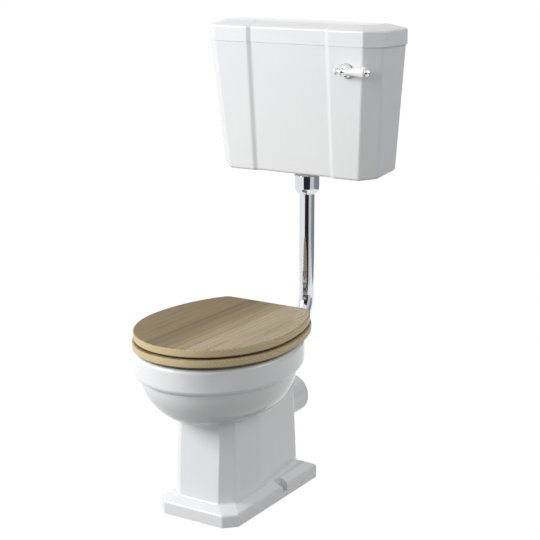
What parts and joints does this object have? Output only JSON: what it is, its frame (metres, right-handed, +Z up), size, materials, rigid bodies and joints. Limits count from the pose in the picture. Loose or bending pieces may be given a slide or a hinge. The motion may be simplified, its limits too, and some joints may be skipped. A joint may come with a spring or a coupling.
{
  "type": "low level toilet",
  "caption": "Low level toilet: china pan on an octagonal pedestal, wooden seat and lid, chrome flush pipe and wall cistern with side lever.",
  "frame": {"origin": "on the floor, midway between the two floor screw holes of the foot", "axes": "+X to the user's right when facing the pan's front from outside, +Y to the wall, +Z up"},
  "size_m": [0.5223, 0.687, 1.1386],
  "materials": {
    "vitreous_china": "white glaze, high gloss",
    "lever_china": "white glaze, high gloss",
    "oak": "satin lacquer",
    "chrome": "polished plate",
    "steel": "bright zinc",
    "rubber": "matt",
    "white_plastic": "moulded",
    "film": "thin sheet",
    "brass": "turned"
  },
  "bodies": {
    "pan_and_cistern": {"pan": "vitreous_china", "hinge_rod": "chrome", "hinge_pillars": "chrome", "hinge_studs": "steel", "hinge_top_washers": "rubber", "hinge_under_washers": "rubber", "hinge_wing_nuts": "white_plastic", "flush_pipe": "chrome", "flush_pipe_nut": "chrome", "flush_pipe_seal": "rubber", "flush_cone": "rubber", "cistern": "vitreous_china", "siphon_body": "white_plastic", "siphon_washer": "rubber", "siphon_back_nut": "white_plastic", "lever_rose": "chrome", "lever_gasket": "rubber", "lever_bush": "brass", "lever_inner_washer": "rubber", "lever_back_nut": "brass", "fill_valve_body": "brass", "fill_valve_outer_washer": "rubber", "fill_valve_inner_washer": "rubber", "fill_valve_outer_nut": "white_plastic", "fill_valve_inner_nut": "white_plastic", "fill_valve_silencer": "white_plastic", "float_pin": "brass"},
    "seat": {"seat": "oak", "seat_hinge_leaves": "chrome", "seat_leaf_screws": "steel", "seat_buffers": "rubber"},
    "seat_lid": {"seat_lid": "oak", "lid_hinge_leaves": "chrome", "lid_leaf_screws": "steel", "lid_buffers": "rubber"},
    "flush_lever": {"lever_spindle": "brass", "lever_hub": "chrome", "lever_handle": "lever_china", "lever_end_cap": "chrome", "lever_knob": "lever_china", "crank_arm": "brass", "crank_screw": "steel"},
    "siphon_piston": {"siphon_piston": "white_plastic", "siphon_diaphragm": "film", "lift_rod": "steel", "lift_link": "steel"},
    "float": {"float_arm": "brass", "float_ball": "white_plastic"},
    "cistern_lid": {"cistern_lid": "vitreous_china"}
  },
  "joints": [
    {"name": "seat_hinge", "type": "hinge", "parent": "pan_and_cistern", "child": "seat", "pos_m": [0, 0.117, 0.436], "axis": [1, 0, 0], "range_deg": [-96, 0]},
    {"name": "lid_hinge", "type": "hinge", "parent": "seat", "child": "seat_lid", "pos_m": [0, 0.117, 0.436], "axis": [-1, 0, 0], "range_deg": [0, 96]},
    {"name": "lever_turn", "type": "hinge", "parent": "pan_and_cistern", "child": "flush_lever", "pos_m": [0.164, 0.188, 1.032], "axis": [0, 1, 0], "range_deg": [0, 35]},
    {"name": "piston_lift", "type": "slide", "parent": "pan_and_cistern", "child": "siphon_piston", "axis": [0, 0, 1], "range_m": [0, 0.0455]},
    {"name": "float_swing", "type": "hinge", "parent": "pan_and_cistern", "child": "float", "pos_m": [-0.18177, 0.287, 0.991], "axis": [0, -1, 0], "range_deg": [0, 35]},
    {"name": "cistern_lid_lift", "type": "slide", "parent": "pan_and_cistern", "child": "cistern_lid", "axis": [0, 0, 1], "range_m": [0, 0.12]}
  ],
  "couplings": [
    {"joint": "piston_lift", "follows": "lever_turn", "m_per_rad": 0.074}
  ]
}
